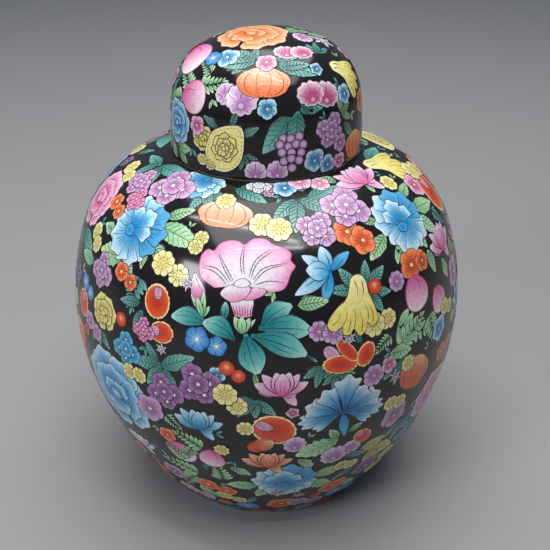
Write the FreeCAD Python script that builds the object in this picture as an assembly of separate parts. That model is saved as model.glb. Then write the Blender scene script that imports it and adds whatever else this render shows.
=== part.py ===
"""Ginger jar: a porcelain jar with a domed porcelain lid that slips over its neck.

Millimetres, +Z up. The origin is on the jar's axis, at the plane of the foot ring.
"""
import FreeCAD, Part
import math
import os

# Driving dimensions. An angle is that of the outward normal above level, in degrees.
BELLY_RADIUS = 127.0        # widest outer radius
BELLY_HEIGHT = 132.0        # height of the widest ring
BELLY_ARC = 165.0           # profile radii, from the belly up and from the belly down
SHOULDER_ARC = 71.5
COLLAR_ARC = 139.5
FLANK_ARC = 264.0
SHOULDER_START = 19.3       # where the belly's arc turns into the shoulder's
COLLAR_START = 72.8         # where the shoulder's arc turns into the collar's
FLANK_START = -18.6         # where the belly's arc turns into the flank's
WALL = 6.5

FOOT_FACE = 7.0             # width of the bare ring that the jar stands on
FOOT_ROUND = 2.5            # radius of the foot's outer and inner edges
BASE_RECESS = 5.0           # how far the base is sunk inside the foot ring
BASE_THICKNESS = 7.5
FLOOR_FILLET = 16.0         # inside, between the floor and the wall

LID_RADIUS = 59.3           # outer radius at the rim
LID_WALL_ARC = 340.0        # profile radii of the lid, from the rim up
LID_CORNER_ARC = 37.7
LID_TOP_ARC = 89.8
LID_CORNER_START = 5.8
LID_WALL = 5.5
RIM_ROUND = 0.8             # radius of the lid rim's edges
RIM_BARE = 1.6              # height of the bare band that the glaze leaves at the rim

NECK_GAP = 1.8              # radial play between the neck and the lid
NECK_WALL = 6.0
NECK_HEIGHT = 22.0
NECK_FILLET = 2.0           # inside, where the neck turns into the collar
SEAT_MARGIN = 0.3           # how far the flat seat reaches past the lid


def unit(angle):
    """The direction at an angle above level, in the r-z plane."""
    return math.cos(math.radians(angle)), math.sin(math.radians(angle))


def on_circle(circle, angle):
    centre_r, centre_z, radius = circle
    return centre_r + radius * unit(angle)[0], centre_z + radius * unit(angle)[1]


def next_circle(circle, radius, angle):
    """The circle of another radius that carries on smoothly from this one at an angle."""
    r, z = on_circle(circle, angle)
    return r - radius * unit(angle)[0], z - radius * unit(angle)[1], radius


def inside(circle, wall):
    """The same arc on the inner face of a wall."""
    return circle[0], circle[1], circle[2] - wall


def angle_at_radius(circle, r):
    """Where the upper half of a circle reaches a distance from the axis."""
    return math.degrees(math.acos((r - circle[0]) / circle[2]))


def angle_at_height(circle, z):
    """Where the outer half of a circle reaches a height."""
    return math.degrees(math.asin((z - circle[1]) / circle[2]))


def arc(circle, start, end):
    """An arc of the profile; the points are turned into the X-Z plane."""
    points = [on_circle(circle, angle) for angle in (start, (start + end) / 2, end)]
    return Part.Arc(*[FreeCAD.Vector(r, 0, z) for r, z in points]).toShape()


def lines(*points):
    """Straight runs of the profile through (r, z) points."""
    corners = [FreeCAD.Vector(r, 0, z) for r, z in points]
    return [Part.LineSegment(a, b).toShape() for a, b in zip(corners, corners[1:])]


def revolve(edges):
    """One closed solid from a closed profile beside, or touching, the axis."""
    wire = Part.Wire(Part.__sortEdges__(edges))
    solid = Part.Face(wire).revolve(FreeCAD.Vector(0, 0, 0), FreeCAD.Vector(0, 0, 1), 360)
    return Part.Solid(solid.Shells[0]) if solid.ShapeType != "Solid" else solid


# The jar's outer profile: circles as (centre r, centre z, radius).
BELLY = (BELLY_RADIUS - BELLY_ARC, BELLY_HEIGHT, BELLY_ARC)
SHOULDER = next_circle(BELLY, SHOULDER_ARC, SHOULDER_START)
COLLAR = next_circle(SHOULDER, COLLAR_ARC, COLLAR_START)
FLANK = next_circle(BELLY, FLANK_ARC, FLANK_START)

SEAT_RADIUS = LID_RADIUS + SEAT_MARGIN
SEAT_ANGLE = angle_at_radius(COLLAR, SEAT_RADIUS)
SEAT_Z = on_circle(COLLAR, SEAT_ANGLE)[1]
NECK_RADIUS = LID_RADIUS - LID_WALL - NECK_GAP
NECK_BORE = NECK_RADIUS - NECK_WALL


def rolled_edge(circle, radius):
    """The circle that rolls a profile arc inward onto the plane z = 0."""
    centre_r = circle[0] + math.sqrt((circle[2] - radius) ** 2 - (radius - circle[1]) ** 2)
    angle = math.degrees(math.atan2(radius - circle[1], centre_r - circle[0]))
    return (centre_r, radius, radius), angle


def jar_outside():
    foot, foot_angle = rolled_edge(FLANK, FOOT_ROUND)
    return foot[0], [
        arc(foot, -90, foot_angle),
        arc(FLANK, foot_angle, FLANK_START),
        arc(BELLY, FLANK_START, SHOULDER_START),
        arc(SHOULDER, SHOULDER_START, COLLAR_START),
        arc(COLLAR, COLLAR_START, SEAT_ANGLE),
    ]


def jar_neck():
    """The seat, the neck and its round lip, and the fillet into the hollow."""
    lip = (NECK_RADIUS - NECK_WALL / 2, SEAT_Z + NECK_HEIGHT - NECK_WALL / 2, NECK_WALL / 2)
    collar = inside(COLLAR, WALL)
    fillet_r = NECK_BORE + NECK_FILLET
    reach = collar[2] + NECK_FILLET
    fillet_z = collar[1] + math.sqrt(reach ** 2 - (fillet_r - collar[0]) ** 2)
    fillet = (fillet_r, fillet_z, NECK_FILLET)
    collar_angle = math.degrees(math.atan2(fillet_z - collar[1], fillet_r - collar[0]))
    edges = lines((SEAT_RADIUS, SEAT_Z), (NECK_RADIUS, SEAT_Z), (NECK_RADIUS, lip[1]))
    edges += [arc(lip, 0, 90), arc(lip, 90, 180)]
    edges += lines((NECK_BORE, lip[1]), (NECK_BORE, fillet_z))
    edges.append(arc(fillet, 180, 180 + collar_angle))
    return collar_angle, edges


def jar_inside(collar_angle):
    """The hollow, from the collar down to the middle of the floor."""
    flank = inside(FLANK, WALL)
    floor_z = BASE_RECESS + BASE_THICKNESS
    fillet_z = floor_z + FLOOR_FILLET
    spread = math.sqrt((flank[2] - FLOOR_FILLET) ** 2 - (fillet_z - flank[1]) ** 2)
    fillet = (flank[0] + spread, fillet_z, FLOOR_FILLET)
    fillet_angle = math.degrees(math.atan2(fillet_z - flank[1], spread))
    return [
        arc(inside(COLLAR, WALL), collar_angle, COLLAR_START),
        arc(inside(SHOULDER, WALL), COLLAR_START, SHOULDER_START),
        arc(inside(BELLY, WALL), SHOULDER_START, FLANK_START),
        arc(flank, FLANK_START, fillet_angle),
        arc(fillet, fillet_angle, -90),
    ] + lines((fillet[0], floor_z), (0, floor_z))


def jar_base(foot_r):
    """The axis, the sunk base and the inner side of the foot ring."""
    inner_r = foot_r - FOOT_FACE
    edge = (inner_r, FOOT_ROUND, FOOT_ROUND)
    edges = lines((0, BASE_RECESS + BASE_THICKNESS), (0, BASE_RECESS),
                  (inner_r - FOOT_ROUND, BASE_RECESS), (inner_r - FOOT_ROUND, FOOT_ROUND))
    edges.append(arc(edge, 180, 270))
    return edges + lines((inner_r, 0), (foot_r, 0))


def jar_body():
    foot_r, outside = jar_outside()
    collar_angle, neck = jar_neck()
    return revolve(outside + neck + jar_inside(collar_angle) + jar_base(foot_r))


def lid():
    wall = (LID_RADIUS - LID_WALL_ARC, SEAT_Z, LID_WALL_ARC)
    corner = next_circle(wall, LID_CORNER_ARC, LID_CORNER_START)
    # The top's centre lies on the axis, which settles where the corner's arc ends.
    top_start = math.degrees(math.acos(corner[0] / (LID_TOP_ARC - LID_CORNER_ARC)))
    top = next_circle(corner, LID_TOP_ARC, top_start)
    bare_angle = angle_at_height(wall, SEAT_Z + RIM_BARE)
    rim_r = LID_RADIUS - RIM_ROUND
    bore_r = LID_RADIUS - LID_WALL + RIM_ROUND
    outer_edge = (rim_r, SEAT_Z + RIM_ROUND, RIM_ROUND)
    inner_edge = (bore_r, SEAT_Z + RIM_ROUND, RIM_ROUND)
    edge_top = on_circle(outer_edge, 0)
    bore = inside(wall, LID_WALL)
    bore_foot = on_circle(inner_edge, 180)
    edges = lines((bore_r, SEAT_Z), (rim_r, SEAT_Z))
    edges.append(arc(outer_edge, -90, 0))
    edges += lines(edge_top, on_circle(wall, bare_angle))
    edges += [
        arc(wall, bare_angle, LID_CORNER_START),
        arc(corner, LID_CORNER_START, top_start),
        arc(top, top_start, 90),
    ]
    edges += lines(on_circle(top, 90), on_circle(inside(top, LID_WALL), 90))
    edges += [
        arc(inside(top, LID_WALL), 90, top_start),
        arc(inside(corner, LID_WALL), top_start, LID_CORNER_START),
        arc(bore, LID_CORNER_START, bare_angle),
    ]
    edges += lines(on_circle(bore, bare_angle), bore_foot)
    edges.append(arc(inner_edge, 180, 270))
    return revolve(edges)


os.makedirs("parts", exist_ok=True)
for name, shape in (("jar_body", jar_body()), ("lid", lid())):
    shape.exportStep(f"parts/{name}.step")
    box = shape.BoundBox
    print(f"{name}: {shape.ShapeType}, valid {shape.isValid()}, {shape.Volume / 1000:.1f} cm3, "
          f"r {box.XMax:.2f}, z {box.ZMin:.2f} to {box.ZMax:.2f}")
print(f"seat z {SEAT_Z:.2f}, neck radius {NECK_RADIUS:.2f}, bore {NECK_BORE:.2f}")
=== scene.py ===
"""Looks of the ginger jar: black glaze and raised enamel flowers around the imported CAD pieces."""
import math
import random

import bpy
import numpy as np
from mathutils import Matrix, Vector


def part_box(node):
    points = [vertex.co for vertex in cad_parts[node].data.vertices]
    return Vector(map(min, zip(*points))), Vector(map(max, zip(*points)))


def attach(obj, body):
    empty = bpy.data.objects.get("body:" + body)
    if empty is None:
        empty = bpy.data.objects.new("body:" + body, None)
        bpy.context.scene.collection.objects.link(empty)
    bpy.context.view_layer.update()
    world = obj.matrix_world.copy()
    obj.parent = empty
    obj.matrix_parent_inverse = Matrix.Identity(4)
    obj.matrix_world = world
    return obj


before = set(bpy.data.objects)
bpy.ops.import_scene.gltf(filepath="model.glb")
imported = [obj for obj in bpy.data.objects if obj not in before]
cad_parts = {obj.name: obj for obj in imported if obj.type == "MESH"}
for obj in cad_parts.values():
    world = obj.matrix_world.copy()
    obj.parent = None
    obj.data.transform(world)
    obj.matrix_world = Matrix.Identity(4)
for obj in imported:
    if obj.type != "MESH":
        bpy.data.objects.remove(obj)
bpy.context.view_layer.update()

MM = 0.001

# Where the porcelain stays bare or changes glaze, in millimetres.
FOOT_ROUND = 0.95       # height of the rolled edge of the foot
SEAT = 234.3            # height of the flat ring the lid sits on
SEAT_DEPTH = 2.2        # faces this close to that height belong to the seat
SEAT_INNER = 51         # radii between which they lie
SEAT_OUTER = 59.7
SEAT_GLAZED = 58.9      # black glaze starts at this radius on the seat
NECK_FOOT = 200         # above this height and inside NECK_REACH everything is the neck
NECK_REACH = 59.5
NECK_LIP = 255.2        # above this the neck's edge is bare
RIM_ROUND = 0.75        # height of the lid's rounded edge
RIM_BARE = 1.55         # the enamel on the lid stops this far above its edge
CROWN = 70              # height in the lid above which its middle faces point nowhere
CROWN_MIDDLE = 4        # radius of those faces
JAR_OUTSIDE = 59.55     # the painted wall of the jar lies outside this radius

# Enamel relief, in millimetres above the glaze.
LAYER = 0.018           # each enamel laid over another one
BULGE = 0.012           # how much a patch swells in its middle
CREST = 0.012           # how high a brush line stands
SUNK = 0.25             # how far a patch's hidden underside lies below the glaze
INK_WIDTH = 0.5         # painted outline of a patch
BOLD = 1.45             # how much wider than named the brush lines are drawn
CELL = 0.5              # spacing of the map that remembers how high the enamel is
PITCH = 1.5             # spacing of a patch's mesh
MARGIN_LOW = 0.3        # paint stops this far from a wall's lower end
MARGIN_HIGH = 0.6       # and this far from its upper end
MARGIN_SOFT = 0.8       # over about this length

# Enamel colours, as the eye reads them (sRGB).
INK = (0.10, 0.07, 0.09)
WINE = (0.42, 0.12, 0.24)
RUST = (0.42, 0.13, 0.05)
WHITE = (0.93, 0.92, 0.90)
ROSE = (0.86, 0.38, 0.60)
PINK = (0.93, 0.62, 0.76)
BLUSH = (0.96, 0.86, 0.92)
PALE_PINK = (0.96, 0.88, 0.92)
BLUE = (0.00, 0.46, 0.73)
SKY = (0.42, 0.74, 0.88)
PALE_BLUE = (0.86, 0.93, 0.96)
TEAL = (0.02, 0.47, 0.50)
AQUA = (0.55, 0.80, 0.74)
FOREST = (0.16, 0.45, 0.43)
LEAF = (0.47, 0.72, 0.49)
MINT = (0.80, 0.92, 0.74)
YELLOW = (0.92, 0.84, 0.42)
CREAM = (0.96, 0.92, 0.66)
APRICOT = (0.98, 0.70, 0.50)
RED = (0.78, 0.19, 0.09)
MAUVE = (0.62, 0.36, 0.58)
LILAC = (0.84, 0.70, 0.84)


def linear(colour):
    """sRGB to linear, for one colour or an array of them."""
    c = np.asarray(colour, float)
    return np.where(c <= 0.04045, c / 12.92, ((c + 0.055) / 1.055) ** 2.4)


# ---------------------------------------------------------------- the walls that are painted
class Wall:
    """The outer face of one CAD piece of revolution, in millimetres.

    A place on it is an azimuth (radians from the front, towards +X) and a run (distance up
    the profile from where the paint may start)."""

    def __init__(self, node, body, start, inner_limit, domed):
        self.body = body
        self.domed = domed
        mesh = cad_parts[node].data
        profile = self.read_profile(mesh, start, inner_limit)
        chord = np.r_[0, np.cumsum(np.hypot(*np.diff(profile, axis=0).T))]
        slope = np.gradient(profile, chord, axis=0, edge_order=2)
        self.knots = self.hermite(np.linspace(0, chord[-1], 1200), chord, profile, slope)
        steps = np.hypot(*np.diff(self.knots, axis=0).T)
        self.run = profile[0, 1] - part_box(node)[0].z / MM + np.r_[0, np.cumsum(steps)]
        self.tangent = np.gradient(self.knots, self.run, axis=0, edge_order=2)
        self.tangent /= np.linalg.norm(self.tangent, axis=1)[:, None]
        self.length = self.run[-1]
        cells = (2 * math.ceil(self.length / CELL) + 4,) * 2
        if not domed:
            cells = (math.ceil(2 * math.pi * self.knots[:, 0].max() / CELL), cells[0])
        self.relief = np.zeros(cells)

    @staticmethod
    def read_profile(mesh, start, inner_limit):
        """(radius, height) of the rings of vertices on the outer face, from the bottom up."""
        points = {}
        for face in mesh.polygons:
            centre, normal = face.center / MM, face.normal
            radius = math.hypot(centre.x, centre.y)
            outward = (centre.x * normal.x + centre.y * normal.y) / max(radius, 1e-6)
            if radius > inner_limit and centre.z > start and outward > 0.01:
                for index in face.vertices:
                    v = mesh.vertices[index].co / MM
                    ring = (round(v.z, 2), round(math.hypot(v.x, v.y), 2))
                    points[ring] = points.get(ring, 0) + 1
        rings = sorted(ring for ring, count in points.items() if count > 4 and ring[0] >= start)
        kept = rings[:1]
        for ring in rings[1:]:
            if math.dist(ring, kept[-1]) > 0.1:
                kept.append(ring)
        return np.array(kept)[:, ::-1]

    @staticmethod
    def hermite(at, x, y, slope):
        """A smooth curve through points with given slopes."""
        i = np.clip(np.searchsorted(x, at) - 1, 0, len(x) - 2)
        h = (x[i + 1] - x[i])[:, None]
        t = ((at - x[i]) / h[:, 0])[:, None]
        return ((2 * t**3 - 3 * t**2 + 1) * y[i] + (t**3 - 2 * t**2 + t) * h * slope[i]
                + (3 * t**2 - 2 * t**3) * y[i + 1] + (t**3 - t**2) * h * slope[i + 1])

    def at(self, run, values):
        """Values of the profile at places along its run."""
        return np.stack([np.interp(run, self.run, values[:, k]) for k in (0, 1)], -1)

    def base(self, azimuth, run):
        """Origin, rightward and upward directions of a plane laid on the wall."""
        (r, z), (tr, tz) = self.at(run, self.knots), self.at(run, self.tangent)
        s, c = math.sin(azimuth), math.cos(azimuth)
        return (np.array([r * s, -r * c, z]), np.array([c, s, 0.0]),
                np.array([tr * s, -tr * c, tz]))

    def land(self, points, run):
        """Azimuth and run of the nearest places on the wall to points in space."""
        rho, z = np.hypot(points[..., 0], points[..., 1]), points[..., 2]
        run = np.clip(run, self.run[0], self.length)
        for _ in range(3):
            place, tangent = self.at(run, self.knots), self.at(run, self.tangent)
            step = (rho - place[..., 0]) * tangent[..., 0] + (z - place[..., 1]) * tangent[..., 1]
            run = np.clip(run + step, self.run[0], self.length)
        # Paint stops softly at the bare rim.
        low, high = self.run[0] + MARGIN_LOW, self.length - MARGIN_HIGH
        run = low + np.logaddexp(0, (run - low) / MARGIN_SOFT) * MARGIN_SOFT
        if not self.domed:
            run = high - np.logaddexp(0, (high - run) / MARGIN_SOFT) * MARGIN_SOFT
        return np.arctan2(points[..., 0], -points[..., 1]), run

    def lift(self, azimuth, run, height):
        """Points in space at a height above places on the wall."""
        place, tangent = self.at(run, self.knots), self.at(run, self.tangent)
        r = place[..., 0] + height * tangent[..., 1]
        z = place[..., 1] - height * tangent[..., 0]
        return np.stack([r * np.sin(azimuth), -r * np.cos(azimuth), z], -1)

    def cells(self, azimuth, run):
        """Indices of places on the wall in its relief map, seen from above on a dome."""
        if self.domed:
            reach = (self.length - run) / CELL
            middle = self.relief.shape[0] / 2
            return ((middle + reach * np.sin(azimuth)).astype(int),
                    (middle + reach * np.cos(azimuth)).astype(int))
        turn = (azimuth / (2 * math.pi)) % 1
        return ((turn * self.relief.shape[0]).astype(int) % self.relief.shape[0],
                (run / CELL).astype(int))


class Pool:
    """Meshes of one enamel family on one body, gathered into one object."""

    def __init__(self):
        self.points, self.colours, self.faces = [], [], []
        self.count = 0

    def add(self, points, colours, faces):
        self.points.append(points)
        self.colours.append(colours)
        self.faces.extend([[i + self.count for i in face] for face in faces])
        self.count += len(points)


pools = {}              # by body and enamel family


def pool(body, family):
    return pools.setdefault((body, family), Pool())


# ---------------------------------------------------------------- the brush
def fade(start, end, power=1.0):
    """Colour along a patch, from its root to its tip."""
    def paint(u, v):
        t = np.clip(u, 0, 1)[..., None] ** power
        return np.array(start) * (1 - t) + np.array(end) * t
    return paint


def flat(colour):
    return fade(colour, colour)


class Brush:
    """Draws on a wall around one spot, in millimetres: x to the right, y up the wall."""

    def __init__(self, wall, azimuth, run, turn=0.0):
        self.wall = wall
        self.run = run
        self.origin, self.across, self.up = wall.base(math.radians(azimuth), run)
        self.shift = np.zeros(2)
        self.matrix = self.turned(turn)

    @staticmethod
    def turned(angle):
        c, s = math.cos(math.radians(angle)), math.sin(math.radians(angle))
        return np.array([[c, -s], [s, c]])

    def at(self, x, y, turn=0.0, scale=1.0):
        """The same brush moved, turned (anticlockwise) and scaled."""
        other = object.__new__(Brush)
        other.__dict__.update(self.__dict__)
        other.shift = self.shift + self.matrix @ np.array([x, y])
        other.matrix = self.matrix @ self.turned(turn) * scale
        return other

    def flipped(self):
        other = self.at(0, 0)
        other.matrix = other.matrix @ np.array([[-1.0, 0], [0, 1.0]])
        return other

    def squeezed(self, across, along=1.0):
        other = self.at(0, 0)
        other.matrix = other.matrix @ np.diag([across, along])
        return other

    @property
    def size(self):
        return math.sqrt(abs(np.linalg.det(self.matrix)))

    def land(self, x, y):
        local = np.stack([x, y], -1) @ self.matrix.T + self.shift
        points = self.origin + local[..., :1] * self.across + local[..., 1:] * self.up
        return self.wall.land(points, self.run + local[..., 1])

    def sheet(self, shape, paint, family, rows=12, cols=12, ink=INK, width=INK_WIDTH, ring=False):
        """Lays one closed enamel patch. shape(u, v) gives x and y for u from root to tip
        (0 to 1) and v across (-1 to 1, or once around for a ring); rows and cols are the
        most it is cut into."""
        length, across = self.extent(shape, ring)
        rows = int(np.clip(length / PITCH, 3, rows))
        cols = int(np.clip(across / PITCH, 12 if ring else 4, cols))
        u, inked_u = with_edge(np.linspace(0, 1, rows + 1), min(width / length, 0.3))
        if ring:
            u, inked_u = u[1:], inked_u[1:]
            v = np.arange(cols) / cols * 2 - 1
            inked_v = np.zeros(cols, bool)
        else:
            half, inked_half = with_edge(np.linspace(0, 1, cols // 2 + 1), min(2 * width / across, 0.3))
            v = np.r_[-half[::-1], half[1:]]
            inked_v = np.r_[inked_half[::-1], inked_half[1:]]
        U, V = np.meshgrid(u, v, indexing="ij")
        inked = inked_u[:, None] | inked_v[None, :]
        colours = np.where(inked[..., None], np.array(ink), paint(U, V)).reshape(-1, 3)
        azimuth, run = self.land(*shape(U, V))
        level = self.claim(shape, length, across) + LAYER
        swell = 1 - U**4 if ring else (1 - (2 * U - 1) ** 4) * (1 - V**4)
        points = self.wall.lift(azimuth, run, level + BULGE * swell).reshape(-1, 3)
        index = np.arange(U.size).reshape(U.shape)
        if ring:
            index = np.c_[index, index[:, :1]]
            loop = index[-1, :-1][::-1]
            hub = self.land(*[np.full(1, float(c)) for c in shape(np.array(0.0), np.array(0.0))])
            points = np.vstack([points, self.wall.lift(*hub, level + BULGE)])
            colours = np.vstack([colours, paint(np.zeros(1), np.zeros(1))])
            faces = [[U.size, a, b] for a, b in zip(index[0], index[0, 1:])]
        else:
            loop = np.r_[index[0], index[1:, -1], index[-1, -2::-1], index[-2:0:-1, 0]]
            faces = []
        quads = np.stack([index[:-1, :-1], index[1:, :-1], index[1:, 1:], index[:-1, 1:]], -1)
        faces += quads.reshape(-1, 4).tolist()
        sunk = self.wall.lift(azimuth.flat[loop], run.flat[loop], -SUNK)
        low = np.arange(len(loop)) + len(points)
        faces += np.stack([loop, np.roll(loop, -1), np.roll(low, -1), low], -1).tolist()
        faces.append(low.tolist())
        sample = points[quads.reshape(-1, 4)]
        normal = np.cross(sample[:, 1] - sample[:, 0], sample[:, 3] - sample[:, 0]).sum(0)
        if np.dot(normal, np.cross(self.across, self.up)) < 0:
            faces = [face[::-1] for face in faces]
        pool(self.wall.body, family).add(np.vstack([points, sunk]),
                                         np.vstack([colours, colours[loop]]), faces)

    def extent(self, shape, ring):
        """How far a patch reaches from its root and how long its widest crossing is."""
        v = np.linspace(-1, 1, 25)
        tips = np.stack(shape(np.ones(25), v), -1)
        middle = np.stack(shape(np.full(25, 0.6), v), -1)
        root = np.array([float(c) for c in shape(np.array(0.0), np.array(0.0))])
        length = np.linalg.norm(tips - root, axis=1).max() * self.size
        widest = max(np.linalg.norm(np.diff(line, axis=0), axis=1).sum() for line in (tips, middle))
        return max(length, 1.0), max(widest * self.size, 1.0)

    def claim(self, shape, length, across):
        """The highest enamel under a patch; the patch's own height is then remembered."""
        counts = [int(size / CELL * 1.5) + 3 for size in (length, across)]
        U, V = np.meshgrid(np.linspace(0, 1, counts[0]), np.linspace(-1, 1, counts[1]), indexing="ij")
        cells = self.wall.cells(*self.land(*shape(U, V)))
        level = self.wall.relief[cells].max()
        self.wall.relief[cells] = level + LAYER + BULGE
        return level

    def stroke(self, points, width=0.42, taper=(0.3, 0.3)):
        """A fine raised brush line, smooth through a few local points, pointed at its ends."""
        points = smooth(np.array(points, float), 5)
        reach = np.r_[0, np.cumsum(np.hypot(*np.diff(points, axis=0).T))]
        count = int(np.clip(reach[-1] * self.size / PITCH, 4, 24))
        t = np.linspace(0, 1, count + 1)
        x, y = [np.interp(t * reach[-1], reach, points[:, k]) for k in (0, 1)]
        dx, dy = np.gradient(x), np.gradient(y)
        thin = np.clip(np.minimum(t / taper[0], (1 - t) / taper[1]), 0, 1) ** 0.6
        half = 0.5 * BOLD * width / self.size * thin / (np.hypot(dx, dy) + 1e-9)
        azimuth, run = self.land(x, y)
        level = self.wall.relief[self.wall.cells(azimuth, run)]
        level = np.maximum(level, np.maximum(np.r_[level[1:], level[-1]], np.r_[level[0], level[:-1]]))
        crest = self.wall.lift(azimuth, run, level + CREST)
        left = self.wall.lift(*self.land(x - dy * half, y + dx * half), level - CREST)
        right = self.wall.lift(*self.land(x + dy * half, y - dx * half), level - CREST)
        stations = np.stack([left, crest, right], 1)[1:-1]
        last = 3 * len(stations)
        faces = []
        for j, k in ((0, 1), (1, 2), (2, 0)):
            for p in range(0, last - 3, 3):
                faces.append([p + j, p + k, p + 3 + k, p + 3 + j])
            faces.append([last, k, j])
            faces.append([last + 1, last - 3 + j, last - 3 + k])
        if np.linalg.det(self.matrix) < 0:
            faces = [face[::-1] for face in faces]
        points = np.vstack([stations.reshape(-1, 3), crest[:1], crest[-1:]])
        family = "ink"
        if not self.wall.domed:
            family = "ink_front" if abs(azimuth[0]) < math.pi / 2 else "ink_back"
        pool(self.wall.body, family).add(points, np.zeros((len(points), 3)), faces)

    def ray(self, turn, start, end, width):
        """A straight line outwards, in a direction turned from the brush's own."""
        self.at(0, 0, turn).stroke([(0, start), (0, end)], width)


def with_edge(steps, edge):
    """Parameter steps from 0 to 1 with a narrow band at 1, and which of them are in it."""
    steps = np.r_[steps[:-1] * (1 - 1.3 * edge) / steps[-2], 1 - edge, 1]
    return steps, steps > 1 - 1.15 * edge


def smooth(points, times):
    """A Catmull-Rom curve through points."""
    padded = np.vstack([2 * points[0] - points[1], points, 2 * points[-1] - points[-2]])
    out = []
    for i in range(len(points) - 1):
        p0, p1, p2, p3 = padded[i:i + 4]
        for t in np.arange(times) / times:
            out.append(0.5 * (2 * p1 + (p2 - p0) * t + (2 * p0 - 5 * p1 + 4 * p2 - p3) * t**2
                              + (3 * p1 - p0 - 3 * p2 + p3) * t**3))
    return np.vstack(out + [points[-1]])


# ---------------------------------------------------------------- shapes of patches
def fan(radius, spread, ruffle=0.0, waves=5, round_tip=0.15):
    """A petal that widens from its root to a broad, possibly ruffled tip, pointing up."""
    half = math.radians(spread / 2)

    def shape(u, v):
        rim = radius * (1 - round_tip * np.abs(v) ** 2.5 + ruffle * np.cos(v * waves * 2.67))
        open_angle = half * v * (0.55 + 0.45 * u ** 0.7)
        r = rim * (0.05 + 0.95 * u)
        return r * np.sin(open_angle), r * np.cos(open_angle)
    return shape


def leaf(length, width, bend=0.0, fullness=0.5, teeth=0.0, count=9, tip=0.04, root=0.04, bow=0.0):
    """A leaf or pointed petal from the origin upwards. fullness is where it is widest."""
    power = math.log(0.5) / math.log(fullness)

    def shape(u, v):
        swell = np.sin(math.pi * np.clip(u, 0, 1) ** power) ** 0.85
        swell = np.maximum(swell, root + (tip - root) * u)
        saw = 1 + teeth * ((u * count) % 1.0 - 0.5) * np.abs(v) ** 3
        side = width / 2 * swell * v * saw
        return side + length * (bend * u ** 2 + 4 * bow * u * (1 - u)), u * length
    return shape


def disc(rx, ry=None, lobes=0, depth=0.0, egg=0.0, turn=0.0, sink=0.0):
    """A round patch, with scalloped lobes or a narrower top if asked; sink lowers its eye."""
    ry = rx if ry is None else ry

    def shape(u, v):
        a = v * math.pi
        scallop = 1 - np.abs(np.sin((a + math.radians(turn)) * lobes / 2)) ** 0.7
        r = u * (1 - depth * scallop * u ** 2)
        return rx * r * np.sin(a) * (1 - egg * np.cos(a)), ry * r * np.cos(a) - sink * ry * (1 - u)
    return shape


def drawn(points, root=None):
    """A patch from a root to a smooth line through points, which closes if no root is given."""
    points = np.array(points, float)
    if root is None:
        root = points.mean(0)
        curve = smooth(np.vstack([points[-1], points, points[:2]]), 6)[6:-6]
    else:
        curve = smooth(points, 6)
    marks = np.linspace(-1, 1, len(curve))

    def shape(u, v):
        x, y = [root[k] + (np.interp(v, marks, curve[:, k]) - root[k]) * u for k in (0, 1)]
        return x, y
    return shape


def wash(shape, start, end, low, high, lean=0.0):
    """Colour by height in a patch, from low to high."""
    def paint(u, v):
        x, y = shape(u, v)
        t = np.clip((y + lean * x - low) / (high - low), 0, 1)[..., None]
        return np.array(start) * (1 - t) + np.array(end) * t
    return paint


# ---------------------------------------------------------------- flowers, leaves and fruit
def veined_leaf(b, length, wide, root, tip, family):
    """A toothed leaf with a midrib and slanting side veins."""
    shape = leaf(length, wide * length, 0, 0.42, 0.25, 9)
    b.sheet(shape, fade(root, tip, 0.9), family, rows=18, cols=10)
    b.stroke([shape(u, 0.0) for u in (0.0, 0.35, 0.7, 0.97)], 0.5)
    for i in range(6):
        u = 0.1 + 0.74 * i / 6
        for side in (-1, 1):
            b.stroke([shape(u, 0.0), shape(u + 0.07, 0.42 * side), shape(u + 0.16, 0.86 * side)], 0.36)


def broad_leaf(b, azimuth, run, width, bow):
    """A smooth leaf from the brush to another place on the wall, paling towards its tip."""
    place, _, _ = b.wall.base(math.radians(azimuth), run)
    reach = (np.dot(place - b.origin, b.across), np.dot(place - b.origin, b.up))
    length = math.hypot(*reach)
    b = b.at(0, 0, -math.degrees(math.atan2(*reach)))
    shape = leaf(length, width, 0, 0.56, tip=0.2, root=0.16, bow=bow)
    b.sheet(shape, fade(TEAL, (0.70, 0.88, 0.81), 1.5), "teal", rows=14, cols=12)
    b.stroke([shape(u, 0.05) for u in (0.02, 0.3, 0.62, 0.9)], 0.55, taper=(0.1, 0.5))
    b.stroke([shape(0.12, -0.35), shape(0.35, -0.55), shape(0.6, -0.5)], 0.4, taper=(0.3, 0.6))
    b.stroke([shape(0.3, 0.3), shape(0.55, 0.5), shape(0.78, 0.5)], 0.4, taper=(0.3, 0.6))


def feather(b, length, colour, tip, family):
    """A fern-like spray of small leaflets along a stem."""
    for i in range(6):
        t = (i + 0.5) / 6
        size = length * 0.4 * (1 - 0.55 * t)
        for side in (-1, 1):
            twig = b.at(0.06 * length * math.sin(3 * t), t * length * 0.85, -side * (58 - 18 * t))
            twig.sheet(leaf(size, size * 0.5, 0.1 * side), fade(colour, tip), family, cols=8,
                       width=0.3)
            twig.stroke([(0, 0.05 * size), (0.02 * side * size, 0.75 * size)], 0.3)
    b.at(0, length * 0.8).sheet(leaf(length * 0.24, length * 0.12), fade(colour, tip), family,
                                cols=8, width=0.3)


def curly_leaf(b, length, root, tip):
    """A lobed leaf whose edge rises in rounded teeth, with a vein to each."""
    shape = leaf(length, 0.6 * length, 0.06, 0.45, 0.5, 6, tip=0.1, root=0.2)
    b.sheet(shape, fade(root, tip), "green", rows=18, cols=10)
    b.stroke([shape(u, 0.0) for u in (0.0, 0.4, 0.8)], 0.5)
    for i in range(5):
        for side in (-1, 1):
            u = 0.08 + 0.16 * i
            b.stroke([shape(u, 0.05 * side), shape(u + 0.1, 0.45 * side),
                      shape(u + 0.12, 0.8 * side)], 0.4)


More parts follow.
